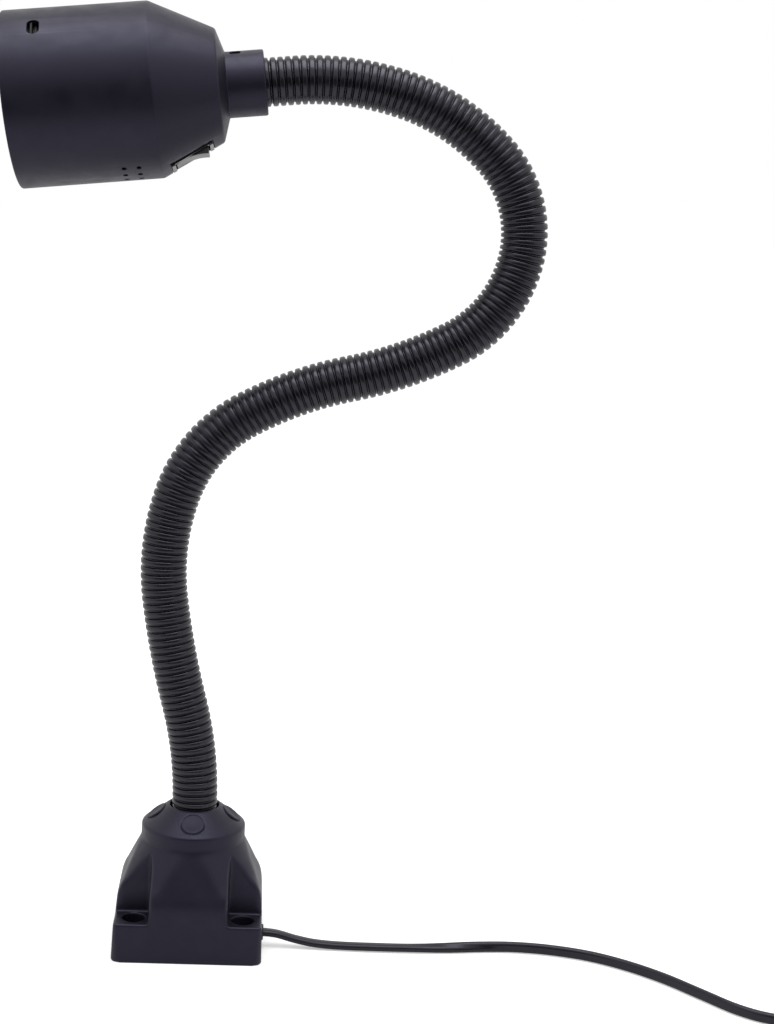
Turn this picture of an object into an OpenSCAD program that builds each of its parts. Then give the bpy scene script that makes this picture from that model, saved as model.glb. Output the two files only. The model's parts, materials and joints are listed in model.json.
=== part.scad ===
// Machine work light: a square screw-down base, a ribbed gooseneck and a round lamp head
// with a rocker switch, with its mains lead put away in a coil. Millimetres, +Z up,
// the origin at the centre of the base's underside, the lamp facing -X.

/* [Base] */
// Side of the square foot
base_w = 69; // [67:1:80]
// Height of the base up to the hose's lip
base_h = 65; // [63:0.5:75]
// Radius of the foot's upright corners
foot_r = 4; // [3:0.5:5]
// Wall of the base
base_wall = 2.5; // [2:0.1:3]
// Lean of the base's sides, in degrees
draft = 1.8; // [0.5:0.1:2]
// Height of the screw ledges in the corners
ledge_h = 18; // [15:0.5:22]
// Width of each arm between the corner pockets
arm_w = 36; // [35:0.5:38]
// Height where the sides start to lean in
shoulder_z = 25; // [23:0.5:27]
// Lean of the band above that height, in degrees from upright
shoulder_lean = 12; // [10:0.5:13]
// Lean of the arms' roofs, in degrees from upright
roof_lean = 27.6; // [26:0.2:29]
// Diameter of the round collar
collar_d = 48.5; // [47:0.5:50]
// Height of the collar's upright band
collar_h = 6.3; // [5:0.1:8]
// Height of the cone above the collar
cone_rise = 9; // [8:0.1:9.5]
// Diameter of the lip round the hose
lip_d = 24.8; // [23.4:0.1:25]
// Thickness of the steel base plate
plate_t = 3; // [2:0.1:3]

/* [Base fixings] */
// Distance from the foot's side to the centre of a mounting hole
mount_edge = 9.5; // [9.2:0.1:10]
// Diameter of the mounting holes
mount_hole_d = 5.5; // [4:0.1:6]
// Diameter of the recess for a mounting screw's head
mount_sink_d = 10.6; // [9:0.1:11]
// Depth of the recess for a mounting screw's head
mount_sink = 8; // [4:0.5:11]
// Diameter of the small case screws
case_screw_d = 3; // [2.5:0.1:3.2]
// Diameter of the round plugs on the cone
plug_spot_d = 10; // [8:0.5:10.5]

/* [Hose] */
// Outer diameter over the ribs
hose_d = 21.2; // [20.6:0.1:21.6]
// Depth of the grooves between the ribs
rib_depth = 1.3; // [0.6:0.1:1.4]
// Diameter of the hose's bore
hose_bore = 16.6; // [16.4:0.1:17]
// Length of hose from one bending place to the next
bend_len = 49.8; // [46:0.1:54]
// Ribs from one bending place to the next
ribs_per_len = 15; // [13:2:17]
// Straight hose below the first bending place, in ribs
foot_ribs = 4; // [3:1:6]
// Straight hose from the last bending place to the neck
neck_gap = 12; // [10:0.5:16]

/* [Core] */
// Outer diameter of the flexible core
core_d = 12; // [11:0.1:12.4]
// Diameter of the ball that each bending place turns on
ball_d = 10.9; // [10.5:0.1:11]
// Outer diameter of the cup round each ball
cup_d = 14; // [13.6:0.1:14.2]
// Diameter of the core behind a ball
waist_d = 6.4; // [6:0.1:6.6]
// Diameter of the passage for the lead
core_bore = 4.4; // [4.2:0.1:4.8]
// Diameter of the lead inside the hose
lead_d = 3.6; // [3:0.1:3.7]

/* [Head] */
// Diameter of the head's cylinder
head_d = 76; // [74:0.5:80]
// Length of the head's cylinder
head_len = 62.5; // [60:0.5:70]
// Length of the head's cone
cone_len = 28; // [27:0.5:32]
// Diameter of the cone's small end
cone_d = 49; // [48:0.5:52]
// Length of the shoulder between cone and neck
shoulder_len = 3.3; // [3:0.1:5]
// Diameter of the neck
neck_d = 28.5; // [28:0.1:31]
// Length of the neck
neck_len = 17; // [15.5:0.5:20]
// Wall of the head
head_wall = 2.2; // [1.8:0.1:2.6]
// Distance from the rim to the middle of the two slots
slot_back = 15; // [13:0.5:16]
// Width of a slot along the head
slot_w = 5.1; // [4.6:0.1:6]
// Length of a slot round the head
slot_l = 9; // [8:0.5:12]
// Diameter of a vent hole
vent_d = 2.1; // [1.5:0.1:2.6]
// Vent holes in one row round the head
vents_round = 7; // [5:1:9]
// Distance between the two rows of vent holes
vent_pitch = 6.4; // [5:0.1:7]

/* [Light] */
// Depth of the lens behind the rim
lens_back = 10; // [9:0.5:11]
// Thickness of the lens
lens_t = 2.5; // [2:0.1:3]
// Length of the grooved ring that holds the lens
ring_len = 14.5; // [13.5:0.5:16]
// Diameter of the light source
led_d = 13; // [9:0.5:14]
// Diameter of the light's circuit board
board_d = 34; // [32:0.5:38]
// Number of cooling fins
fins = 12; // [8:1:14]
// Thickness of a cooling fin
fin_t = 1.6; // [1.2:0.1:2]

/* [Switch] */
// Length of the switch's frame
switch_l = 20.8; // [20.4:0.1:21.4]
// Width of the switch's frame
switch_w = 14.8; // [14.4:0.1:15.4]
// Depth of the flat notch that the switch sits in
notch_depth = 1.8; // [1.5:0.1:2]
// Length of the rocker
rocker_l = 14.8; // [14:0.1:15]
// Width of the rocker
rocker_w = 10.8; // [10:0.1:11]
// Angle between the rocker's two positions
rock_angle = 20; // [14:1:22]
// Turn of the switch round the head
switch_turn = 8; // [0:1:12]

/* [Lead] */
// Diameter of the mains lead
cord_d = 5; // [4.6:0.1:5]
// Turns in the coil
coil_turns = 6.25; // [6.25:2:8.25]
// Radius of the coil's innermost turn
coil_in_r = 20; // [20:0.5:22]
// Distance from one turn of the coil to the next
coil_step = 5.5; // [5.5:0.1:5.8]
// Length of the plug's body
plug_l = 34; // [30:1:38]
// Width of the plug's body
plug_w = 30; // [27:1:34]
// Thickness of the plug's body
plug_t = 14; // [12:0.5:16]

/* [Hidden] */

// Gaps: round what is laid in, round a screw or stem, round a pivot and round a ball
fit = 0.3;
close_fit = 0.1;
pin_fit = 0.05;
ball_fit = 0.15;
// Gap between two lengths of hose, and how far joined shapes run into each other
seam = 0.1;
bite = 0.4;

// Base
half_w = base_w / 2;
in_half = half_w - base_wall;
pocket_in = arm_w / 2;
cross_in = pocket_in - base_wall;
mount_r = half_w - mount_edge;
boss_r = mount_sink_d / 2 + 2;
lip_r = lip_d / 2;
collar_r = collar_d / 2;
cone_z = base_h - cone_rise;
collar_z = cone_z - collar_h;
screw_r = case_screw_d / 2;
screw_head_r = case_screw_d - 0.2;
plate_screw_x = 9;
plate_screw_r = 3.3;
plate_screw_y = in_half - plate_screw_r + 0.2;

// Hose seat in the base
rib_pitch = bend_len / ribs_per_len;
hose_z0 = base_h - 13.4;
bend_z0 = hose_z0 + foot_ribs * rib_pitch;
flange_t = 3;
flange_z = hose_z0 - fit - flange_t;
roof_z = flange_z + flange_t + close_fit;
hose_hole_r = (lip_r + hose_d / 2) / 2;
spot_r = (collar_r + lip_r) / 2 - 0.6;
flange_r = spot_r + screw_r + 1.3;
spot_z = cone_z + (collar_r - spot_r) * cone_rise / (collar_r - lip_r);
spot_tilt = atan(cone_rise / (collar_r - lip_r));
spot_deep = 1.4;
flange_head_z = roof_z + 3.4;
stud_r = 6;
nut_t = 5;

// Bends of the lengths of hose from the base to the head, in degrees, to the left positive
bends = [16, -7.2, -25.7, -42.4, -16.7, 15.4, 50.2, 56.2, 29.8, 22.2];
lengths = len(bends);

// Head, whose own frame has +Z forward from the neck's end and +X up
cone_z0 = neck_len + shoulder_len;
cone_z1 = cone_z0 + cone_len;
rim_z = cone_z1 + head_len;
head_r = head_d / 2;
cone_r = cone_d / 2;
neck_r = neck_d / 2;
bore_r = head_r - head_wall;
socket_r = hose_d / 2 + 0.6;
socket_len = neck_len - 2;
web_z = neck_len + 1.3;
tail_ribs = ceil((neck_gap + 6) / rib_pitch);
hose_in = tail_ribs * rib_pitch - neck_gap;
fitting_z = hose_in + fit;
fitting_r = socket_r - fit;
slot_turn = -43;
neck_screw_turn = -20;
neck_screw_r = 2.4;
neck_screw_z = socket_len - neck_screw_r - close_fit;
vent_z = cone_z1 + 9.5;
vent_turn = 9.6;

// Light, counted back from the rim
lens_z = rim_z - lens_back;
ring_z1 = lens_z + 1.4;
ring_z0 = ring_z1 - ring_len;
ring_r = bore_r - fit;
lens_r = ring_r - 1.9;
bowl_z = lens_z - lens_t - close_fit;
board_t = 1.6;
led_t = 1.2;
sink_z = bowl_z - 22;
sink_t = 4.5;
fin_len = 13.5;
shelf_r = bore_r - 4;
shelf_t = 2.5;
sink_screw_r = bore_r - 2.2;
board_screw_r = board_d / 2 - 2.8;
wire_hole_r = board_d / 2 + 3;

// Switch, whose own frame has +X to the lamp's front and +Z out of the head
slope = atan((head_r - cone_r) / cone_len);
switch_r = (head_r + cone_r) / 2;
switch_z = (cone_z0 + cone_z1) / 2;
seat_rim = 2.4;
seat_z = -notch_depth - 3.2;
pivot_z = -notch_depth - 1.4;
pivot_r = 1.2;
crown = 2.5;
wing = rocker_l / 2 * tan(rock_angle / 2);
rocker_r = norm([rocker_l / 2, crown + wing]);
dish_r = (wing * wing + rocker_l * rocker_l / 4) / (2 * wing);
well_l = rocker_r + fit;
well_w = rocker_w / 2 + fit;
well_z = -9.5;
can_l = well_l + 0.6;
can_w = well_w + 0.8;
can_z = -14;
tab_len = 7;
tab_x = 4;

// Driver on the base plate
driver_w = 2 * cross_in - 1;
driver_l = in_half - 7;
driver_z = plate_t + 6;
post_r = 1.8;
part_x = 3 - driver_w / 2;
driver_posts = [for (x = [-1, 1], y = [2.5, driver_l - 2.5]) [x * (driver_w / 2 - 2.5), y]];

// Mains lead from the gland to the coil, and from the coil to the plug
cord_r = cord_d / 2;
lay_z = cord_r + 0.1;
exit_y = -12;
exit_z = 7;
exit_x = half_w + 0.6;
gland_r = 3.8;
gland_len = 24;
gland_tail_r = 3.2;
coil_z1 = cord_r + 1.4;
coil_z2 = coil_z1 + coil_step + 0.1;
coil_half = coil_turns / 2;
coil_r0 = coil_in_r + coil_step * coil_half;
coil_x = 320;
coil_start_y = -84;
coil_y = coil_start_y + coil_r0;
coil_rings = 24;
cord_route = [[exit_x, exit_y, exit_z], [42, -12, 6.5], [50, -12.2, 4.9], [59, -12.6, 3.3],
    [70, -13, lay_z], [85, -13.6, lay_z], [101, -13.6, lay_z], [120, -13, lay_z], [138, -11.4, lay_z],
    [155, -11, lay_z], [172, -13.2, lay_z], [190, -19, lay_z], [206, -28.6, lay_z], [221, -41.6, lay_z],
    [235, -57.8, lay_z], [248, -72.6, lay_z], [262, -81, lay_z], [280, -84, 3], [300, -84, 3.7],
    [coil_x, coil_start_y, coil_z1]];
plug_x = coil_x + coil_r0;
plug_y = coil_y + 28;
plug_z = plug_t / 2 + 0.1;
boot_len = 12;
pin_d = 4;
pin_len = 19;
pin_pitch = 18.6;
tail_route = [[plug_x, coil_y, coil_z2], [plug_x, coil_y + 6, coil_z2 - 0.1],
    [plug_x, coil_y + 13, (coil_z2 + plug_z) / 2], [plug_x, coil_y + 20, plug_z + 0.1],
    [plug_x, plug_y, plug_z]];

// Points and directions
function unit(v) = v / norm(v);
function tangent(p, i) = unit(p[min(i + 1, len(p) - 1)] - p[max(i - 1, 0)]);
function ring_at(p, t, ref, r, n) = let(u = unit(cross(ref, t)), v = cross(t, u))
    [for (k = [0 : n - 1]) p + r * (cos(360 * k / n) * u + sin(360 * k / n) * v)];

// A smooth curve through a route, with one more point between each two
function between(p, i) = let(a = p[max(i - 1, 0)], b = p[i], c = p[i + 1],
    d = p[min(i + 2, len(p) - 1)]) (9 * (b + c) - a - d) / 16;
function smooth(p) = [for (i = [0 : 2 * len(p) - 2]) i % 2 == 0 ? p[i / 2] : between(p, (i - 1) / 2)];

// Triangles between two rings of n points, and across the end of a tube
function band(a, b, n) = [for (k = [0 : n - 1]) let(m = (k + 1) % n)
    each [[a + k, b + m, a + m], [a + k, b + k, b + m]]];
function fan(a, n) = [for (k = [1 : n - 2]) [a, a + k, a + k + 1]];
function turned(f) = [for (t = f) [t[0], t[2], t[1]]];

// An outline's corner b between a and c, rounded with radius r in five steps
function corner(a, b, c, r) = let(u = unit(a - b), v = unit(c - b), half = acos(u * v) / 2,
    o = b + unit(u + v) * r / sin(half), e = unit(b + u * r / tan(half) - o),
    f = unit(b + v * r / tan(half) - o), w = 180 - 2 * half)
    [for (i = [0 : 5]) o + r * (sin(w * (1 - i / 5)) * e + sin(w * i / 5) * f) / sin(w)];
function outline(q) = [for (i = [0 : len(q) - 1]) let(b = q[i], a = q[(i + len(q) - 1) % len(q)],
    c = q[(i + 1) % len(q)]) each (b[2] == 0 ? [[b[0], b[1]]]
        : corner([a[0], a[1]], [b[0], b[1]], [c[0], c[1]], b[2]))];

// Place and heading of the gooseneck at its bending places, as x, z and angle
function chord_of(t, s) = s * sin(t / 2) / (t * PI / 360);
function place(k) = k == 0 ? [0, bend_z0, 90] : let(q = place(k - 1), t = bends[k - 1],
    c = chord_of(t, bend_len), a = q[2] + t / 2) [q[0] + c * cos(a), q[1] + c * sin(a), q[2] + t];
places = [for (k = [0 : lengths]) place(k)];

// Point and heading at s millimetres past the first bending place, straight outside the bends
hose_end = lengths * bend_len;
function hose_point(s) = s <= 0 ? [0, 0, bend_z0 + s] : s >= hose_end
    ? let(q = places[lengths], e = s - hose_end) [q[0] + e * cos(q[2]), 0, q[1] + e * sin(q[2])]
    : let(k = floor(s / bend_len), q = places[k], e = s - k * bend_len, t = bends[k] * e / bend_len,
        c = e == 0 ? 0 : chord_of(t, e), a = q[2] + t / 2) [q[0] + c * cos(a), 0, q[1] + c * sin(a)];
function hose_heading(s) = s <= 0 ? 90 : s >= hose_end ? places[lengths][2]
    : let(k = floor(s / bend_len)) places[k][2] + bends[k] * (s / bend_len - k);
function hose_ring(s, r, n) = let(a = hose_heading(s))
    ring_at(hose_point(s), [cos(a), 0, sin(a)], [0, 1, 0], r, n);

// Coil of the mains lead: it spirals in and out again and climbs a layer where it turns back
function coil_point(t) = let(r = coil_in_r + coil_step * abs(t - coil_half), a = 360 * t - 90,
    up = max(0, min(1, (t - coil_half + 0.25) * 2)))
    [coil_x + r * cos(a), coil_y + r * sin(a), coil_z1 + (coil_z2 - coil_z1) * up];
coil_path = [for (i = [0 : coil_rings * coil_turns]) coil_point(i / coil_rings)];
coil_gap = min([for (i = [0 : len(coil_path) - 1]) for (j = [i + coil_rings / 2 : 1 : len(coil_path) - 1])
    norm(coil_path[i] - coil_path[j])]) - cord_d;
echo(coil_gap = coil_gap);

// A closed tube of n sides along the points p
module tube(p, r, n, ref) {
    rings = len(p);
    polyhedron([for (i = [0 : rings - 1]) each ring_at(p[i], tangent(p, i), ref, r, n)],
        concat([for (i = [0 : rings - 2]) each band(i * n, (i + 1) * n, n)],
            fan(0, n), turned(fan((rings - 1) * n, n))));
}

// Puts the frame of a bending place, with +Z along the hose, where it belongs
module at_place(k) {
    q = places[k];
    translate([q[0], 0, q[1]]) rotate([0, 90 - q[2], 0]) children();
}

module in_head() {
    at_place(lengths) translate([0, 0, neck_gap]) children();
}

module in_switch() {
    rotate([0, 0, switch_turn]) translate([-switch_r, 0, switch_z]) rotate([0, -90 - slope, 0]) children();
}

// A point of the switch's frame in the head's frame
function from_switch(x, z) = let(a = slope, r = -switch_r - x * sin(a) - z * cos(a))
    [r * cos(switch_turn), r * sin(switch_turn), switch_z + x * cos(a) - z * sin(a)];

module rod(r, z0, z1) {
    translate([0, 0, z0]) cylinder(r = r, h = z1 - z0, $fn = 64);
}

module rod_x(r, x0, x1) {
    translate([x0, 0, 0]) rotate([0, 90, 0]) cylinder(r = r, h = x1 - x0, $fn = 64);
}

// A pan-head screw with its head at the origin and its shank along -Z
module screw(r, head_r, head_t, shank) {
    difference() {
        rod(head_r, 0, head_t);
        rod(head_r * 0.42, head_t * 0.4, head_t + 1);
    }
    rod(r, -shank, bite);
}

module nut(across, hole, t) {
    difference() {
        cylinder(d = across / cos(30), h = t, $fn = 6);
        rod(hole, -1, t + 1);
    }
}

// A bent rod from s0 to s1 along a length of hose that turns by t
module bent(t, s0, s1, r) {
    big = bend_len * 180 / PI / abs(t);
    mirror([t > 0 ? 0 : 1, 0, 0]) translate([-big, 0, 0]) rotate([90, 0, 0])
        rotate([0, 0, abs(t) * s0 / bend_len])
            rotate_extrude(angle = abs(t) * (s1 - s0) / bend_len, $fn = 64)
                translate([big, 0]) circle(r, $fn = 48);
}

cup_back = ball_d / 2 + 1;
cup_lip = 1.6;
stem_len = 8;

module cup_hollow() {
    sphere(ball_d / 2 + ball_fit, $fn = 64);
}

// One length of the flexible core, a ball at its lower end and a cup at its upper end
module core(k) color([0.55, 0.56, 0.58]) {
    t = bends[k - 1];
    difference() {
        union() {
            at_place(k - 1) sphere(ball_d / 2, $fn = 64);
            at_place(k - 1) bent(t, 0, stem_len + 1, waist_d / 2);
            at_place(k - 1) bent(t, stem_len, bend_len - cup_back + bite, core_d / 2);
            at_place(k) rod(cup_d / 2, -cup_back, cup_lip);
        }
        at_place(k) cup_hollow();
        at_place(k - 1) bent(t, 0, bend_len - ball_d / 4, core_bore / 2);
        at_place(k - 1) rod(core_bore / 2, -ball_d, 0);
    }
}

// Half a seam's gap at each end of a length of hose from s0 to s1
function drawn_in(s, s0, s1) = min(max(s, s0 + seam / 2), s1 - seam / 2);

// One length of the ribbed hose from s0 on, with n ribs and its bore
module hose(s0, n) color([0.07, 0.07, 0.08]) {
    sides = 8;
    bore_step = 3;
    spans = ceil(n / bore_step);
    s1 = s0 + n * rib_pitch;
    skin = [for (i = [0 : 2 * n]) each hose_ring(drawn_in(s0 + i * rib_pitch / 2, s0, s1),
        hose_d / 2 - (i % 2 == 0 ? rib_depth : 0), sides)];
    bore = [for (i = [0 : spans])
        each hose_ring(drawn_in(s0 + i * n * rib_pitch / spans, s0, s1), hose_bore / 2, sides)];
    b = len(skin);
    last = b - sides;
    inner_last = b + spans * sides;
    polyhedron(concat(skin, bore), concat(
        [for (i = [0 : 2 * n - 1]) each band(i * sides, (i + 1) * sides, sides)],
        turned([for (i = [0 : spans - 1]) each band(b + i * sides, b + (i + 1) * sides, sides)]),
        turned(band(0, b, sides)), band(last, inner_last, sides)));
}

// Hose number k spans bending place k - 1, from middle to middle of the lengths beside it
module hose_length(k) {
    if (k == 1) hose(-foot_ribs * rib_pitch, foot_ribs + floor(ribs_per_len / 2));
    else if (k == lengths + 1) hose(s_mid(k - 1), ribs_per_len - floor(ribs_per_len / 2) + tail_ribs);
    else hose(s_mid(k - 1), ribs_per_len);
}
function s_mid(k) = (k - 1) * bend_len + floor(ribs_per_len / 2) * rib_pitch;

// The outline of the base's dome from the axis, drawn in by a wall, up to the collar
reach = norm([half_w, pocket_in]);
function dome(wall, r1, r2) = [[0, -1, 0], [reach - wall, -1, 0],
    [reach - wall, 0.8 * shoulder_z + 0.2 * collar_z - wall / 2, 0],
    [collar_r + 0.76 * (reach - collar_r) - wall, 0.4 * shoulder_z + 0.6 * collar_z - wall / 2, r1],
    [collar_r - wall, collar_z - wall / 2, r2]];

// What lies beyond a plane that leans in by an angle and passes x at height z, up to there
module beyond(x, z, lean) {
    translate([x, 0, z]) rotate([0, -lean, 0])
        translate([0, -base_w, -2 * base_h]) cube([base_w, 2 * base_w, 2 * base_h]);
}

// What the arms' leaning sides and roofs cut away, drawn in by a wall
module arm_cuts(wall) {
    shoulder_x = half_w - shoulder_z * tan(draft) - (collar_z - shoulder_z) * tan(shoulder_lean);
    for (a = [0 : 90 : 270]) rotate([0, 0, a]) {
        beyond(half_w - base_h * tan(draft) - wall / cos(draft), base_h, draft);
        beyond(shoulder_x - wall / cos(shoulder_lean), collar_z, shoulder_lean);
        beyond(collar_r - wall / cos(roof_lean), collar_z, roof_lean);
    }
}

// A cross of four arms, rounded at the arms' ends and where they meet
function cross_outline(out, arm, r1, r2) = [for (a = [0 : 90 : 270])
    each [for (q = [[out, -arm, r1], [out, arm, r1], [arm, arm, r2]])
        [q[0] * cos(a) - q[1] * sin(a), q[0] * sin(a) + q[1] * cos(a), q[2]]]];

module base_shape() {
    intersection() {
        linear_extrude(base_h + 1) polygon(outline(cross_outline(half_w, pocket_in, 0.8, 1.5)));
        rotate_extrude($fn = 96) polygon(outline(concat(dome(0, 25, 2),
            [[collar_r, cone_z, 1], [lip_r, base_h, 0.5], [0, base_h, 0]])));
    }
    block(half_w, foot_r, 0, ledge_h);
}

module base_hollow() {
    difference() {
        intersection() {
            translate([0, 0, -1]) linear_extrude(base_h)
                polygon(outline(cross_outline(in_half, cross_in, 0, 0)));
            rotate_extrude($fn = 96) polygon(outline(concat(dome(base_wall, 0, 0),
                [[collar_r - base_wall, roof_z, 0], [0, roof_z, 0]])));
        }
        arm_cuts(base_wall);
    }
    block(in_half, 1.5, -1, ledge_h - base_wall);
}

module at_corners() {
    for (a = [0 : 90 : 270]) rotate([0, 0, a]) translate([mount_r, mount_r, 0]) children();
}

module at_plate_screws() {
    for (x = [-1, 1], y = [-1, 1]) translate([x * plate_screw_x, y * plate_screw_y, 0]) children();
}

module at_spots() {
    for (a = [0 : 90 : 270]) rotate([0, 0, a]) translate([spot_r, 0, 0]) children();
}

module block(half, r, z0, z1) {
    translate([0, 0, z0]) linear_extrude(z1 - z0) {
        square([2 * half, 2 * (half - r)], center = true);
        square([2 * (half - r), 2 * half], center = true);
        for (x = [-1, 1], y = [-1, 1]) translate([x, y] * (half - r)) circle(r, $fn = 48);
    }
}

module base_cover() color([0.15, 0.15, 0.19]) {
    difference() {
        union() {
            difference() {
                base_shape();
                base_hollow();
            }
            at_corners() rod(boss_r, 0, ledge_h - 1);
            at_plate_screws() rod(plate_screw_r, plate_t, plate_t + 11);
        }
        arm_cuts(0);
        rod(hose_hole_r, roof_z - 1, base_h + 1);
        at_corners() rod(mount_hole_d / 2, -1, ledge_h);
        at_corners() rod(mount_sink_d / 2, ledge_h - mount_sink, ledge_h + 1);
        at_plate_screws() rod(screw_r + close_fit, plate_t - 1, plate_t + 9);
        at_spots() {
            translate([0, 0, spot_z]) rotate([0, spot_tilt, 0])
                rod(plug_spot_d / 2 + close_fit, -spot_deep, 5);
            rod(screw_head_r + close_fit, flange_head_z, spot_z);
            rod(screw_r + close_fit, roof_z - 1, flange_head_z + 1);
        }
        translate([0, exit_y, exit_z]) rod_x(gland_r + close_fit, in_half - 1, half_w + 1);
    }
}

module base_plate() color([0.5, 0.5, 0.52]) {
    gap = boss_r + fit;
    difference() {
        block(in_half - fit, 1.5, 0, plate_t);
        at_corners() {
            rod(gap, -1, plate_t + 1);
            translate([0, -gap, -1]) cube([base_w, base_w, plate_t + 2]);
            translate([-gap, 0, -1]) cube([base_w, base_w, plate_t + 2]);
        }
        at_plate_screws() {
            rod(screw_r + close_fit, -1, plate_t + 1);
            rod(screw_head_r + close_fit, -1, 1.6);
        }
        for (y = [-1, 1]) translate([clamp_x, exit_y + y * clamp_screw_y, 0])
            rod(screw_r + close_fit, -1, plate_t + 1);
    }
    for (p = driver_posts) translate([p[0], p[1], 0]) rod(post_r, plate_t - bite, driver_z);
}

module plate_screws() color("silver") {
    at_plate_screws() translate([0, 0, 1.5]) rotate([180, 0, 0]) screw(screw_r, screw_head_r, 1.4, 8);
}

module clamp_flange() color([0.6, 0.6, 0.62]) {
    difference() {
        rod(flange_r, flange_z, flange_z + flange_t);
        rod(stud_r + close_fit, flange_z - 1, roof_z);
        at_spots() rod(screw_r + close_fit, flange_z - 1, roof_z);
    }
}

module flange_screws() color("silver") {
    at_spots() translate([0, 0, flange_head_z + pin_fit]) screw(screw_r, screw_head_r, 1.8, 9);
}

module screw_plugs() color([0.13, 0.13, 0.17]) {
    at_spots() translate([0, 0, spot_z]) rotate([0, spot_tilt, 0])
        rod(plug_spot_d / 2, -spot_deep + pin_fit, -0.2);
}

module base_fitting() color([0.7, 0.7, 0.72]) {
    difference() {
        union() {
            rod(stud_r, flange_z - nut_t - 2, bend_z0 - cup_back + bite);
            rod(cup_d / 2, flange_z + flange_t, flange_z + flange_t + 1.8);
            rod(cup_d / 2, bend_z0 - cup_back, bend_z0 + cup_lip);
        }
        translate([0, 0, bend_z0]) cup_hollow();
        rod(core_bore / 2, 0, bend_z0);
    }
}

module fitting_nut() color([0.7, 0.7, 0.72]) {
    translate([0, 0, flange_z - nut_t]) nut(17, stud_r + close_fit, nut_t);
}

module driver_board() color([0.1, 0.35, 0.2]) {
    translate([-driver_w / 2, 0, driver_z]) cube([driver_w, driver_l, board_t]);
}

module driver_parts() color([0.75, 0.7, 0.3]) {
    top = driver_z + board_t;
    translate([part_x, driver_l - 17, top]) cube([driver_w / 2, 13, 12]);
    translate([-part_x - 3, driver_l - 7, 0]) rod(4, top, top + 11);
    translate([-part_x - 2, driver_l - 17, 0]) rod(3.2, top, top + 7);
    translate([-2, 0.5, top]) cube([7, 5, 6]);
    translate([part_x, 0.5, top]) cube([8, 5, 6]);
}

block_x0 = 1 - driver_w / 2;
block_x1 = block_x0 + 18;
block_y0 = exit_y - 7;
block_y1 = exit_y + 6.5;
block_h = 10;
block_top = plate_t + block_h;

module terminal_block() color([0.85, 0.85, 0.8]) {
    difference() {
        translate([block_x0, block_y0, plate_t]) cube([block_x1 - block_x0, block_y1 - block_y0, block_h]);
        for (x = [-1, 1]) translate([(block_x0 + block_x1) / 2 + 4.2 * x, exit_y, 0])
            rod(1.6, plate_t + 6, block_top + 1);
    }
}

clamp_x = half_w - 20.5;
clamp_screw_y = 6.2;

module cord_gland() color([0.06, 0.06, 0.07]) {
    translate([0, exit_y, exit_z]) rotate([0, 90, 0])
        rotate_extrude($fn = 64) polygon([[0, half_w - gland_len], [gland_tail_r, half_w - gland_len],
            [gland_tail_r, in_half - 6], [gland_r, in_half - 2], [gland_r, exit_x - 0.4],
            [gland_r - 0.4, exit_x], [0, exit_x]]);
}

module cord_clamp() color([0.2, 0.2, 0.22]) {
    difference() {
        translate([clamp_x - 2.5, exit_y - 8.4, plate_t]) cube([5, 16.8, 9]);
        translate([0, exit_y, exit_z]) rod_x(gland_tail_r + close_fit, clamp_x - 4, clamp_x + 4);
        for (y = [-1, 1]) translate([clamp_x, exit_y + y * clamp_screw_y, 0])
            rod(screw_r + close_fit, plate_t - 1, plate_t + 10);
    }
}

module clamp_screws() color("silver") {
    for (y = [-1, 1]) translate([clamp_x, exit_y + y * clamp_screw_y, plate_t + 9 + pin_fit])
        screw(screw_r, 2.2, 1.6, 9 + plate_t - 0.5);
}

module supply_wires() color([0.35, 0.25, 0.2]) {
    for (y = [-1.3, 1.3]) translate([0, exit_y + y, exit_z]) rod_x(1, block_x1, half_w - gland_len);
    low = block_top - 4;
    high = driver_z + board_t + 3;
    for (x = [1, 4]) translate([part_x + x, 0, 0]) tube([[0, block_y1 + pin_fit, low],
        [0, block_y1 + 1.6, low], [0, block_y1 + 3.4, low + 1.6], [0, -1.6, high - 1.2], [0, -0.6, high],
        [0, 0.5 - pin_fit, high]], 1, 6, [1, 0, 0]);
}

module power_cord() color([0.05, 0.05, 0.06]) {
    tube(smooth(cord_route), cord_r, 10, [0, 0, 1]);
    tube(smooth(tail_route), cord_r, 10, [0, 0, 1]);
}

module cord_coil() color([0.05, 0.05, 0.06]) {
    tube(coil_path, cord_r, 6, [0, 0, 1]);
}

module cord_tie() color([0.12, 0.12, 0.12]) {
    turns = [for (t = [0.75 : 1 : coil_turns]) coil_in_r + coil_step * abs(t - coil_half)];
    r0 = min(turns) - cord_r;
    r1 = max(turns) + cord_r;
    wide = (r1 - r0) / 2 + fit;
    high = (coil_z2 - coil_z1) / 2 + cord_r + fit;
    wall = 0.9;
    translate([coil_x - (r0 + r1) / 2, coil_y, (coil_z1 + coil_z2) / 2]) rotate([90, 0, 0])
        linear_extrude(6, center = true) difference() {
            square([2 * (wide + wall), 2 * (high + wall)], center = true);
            square([2 * wide, 2 * high], center = true);
        }
}

// Puts the plug's frame, with +X from the lead to the pins, where it lies
module in_plug() {
    translate([plug_x, plug_y, plug_z]) rotate([0, 0, 90]) children();
}

module plug_body() color([0.05, 0.05, 0.06]) {
    in_plug() {
        rod_x(3.4, 0, boot_len + 1);
        hull() {
            translate([boot_len + 3, 0, 0]) cube([6, 11, 9], center = true);
            translate([boot_len + 12, 0, 0]) cube([4, plug_w - 3, plug_t], center = true);
            translate([plug_l - 3, 0, 0]) cube([6, plug_w, plug_t - 1], center = true);
        }
    }
}

module plug_pins() color([0.8, 0.78, 0.7]) {
    in_plug() for (y = [-1, 1]) translate([plug_l, y * pin_pitch / 2, 0]) {
        rod_x(pin_d / 2, 0, pin_len - pin_d / 2);
        translate([pin_len - pin_d / 2, 0, 0]) sphere(pin_d / 2, $fn = 48);
    }
}

lead_step = bend_len / 6;
lead_end = hose_end + neck_gap + neck_len + 9;
lead_top = driver_z + board_t + 6;

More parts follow.
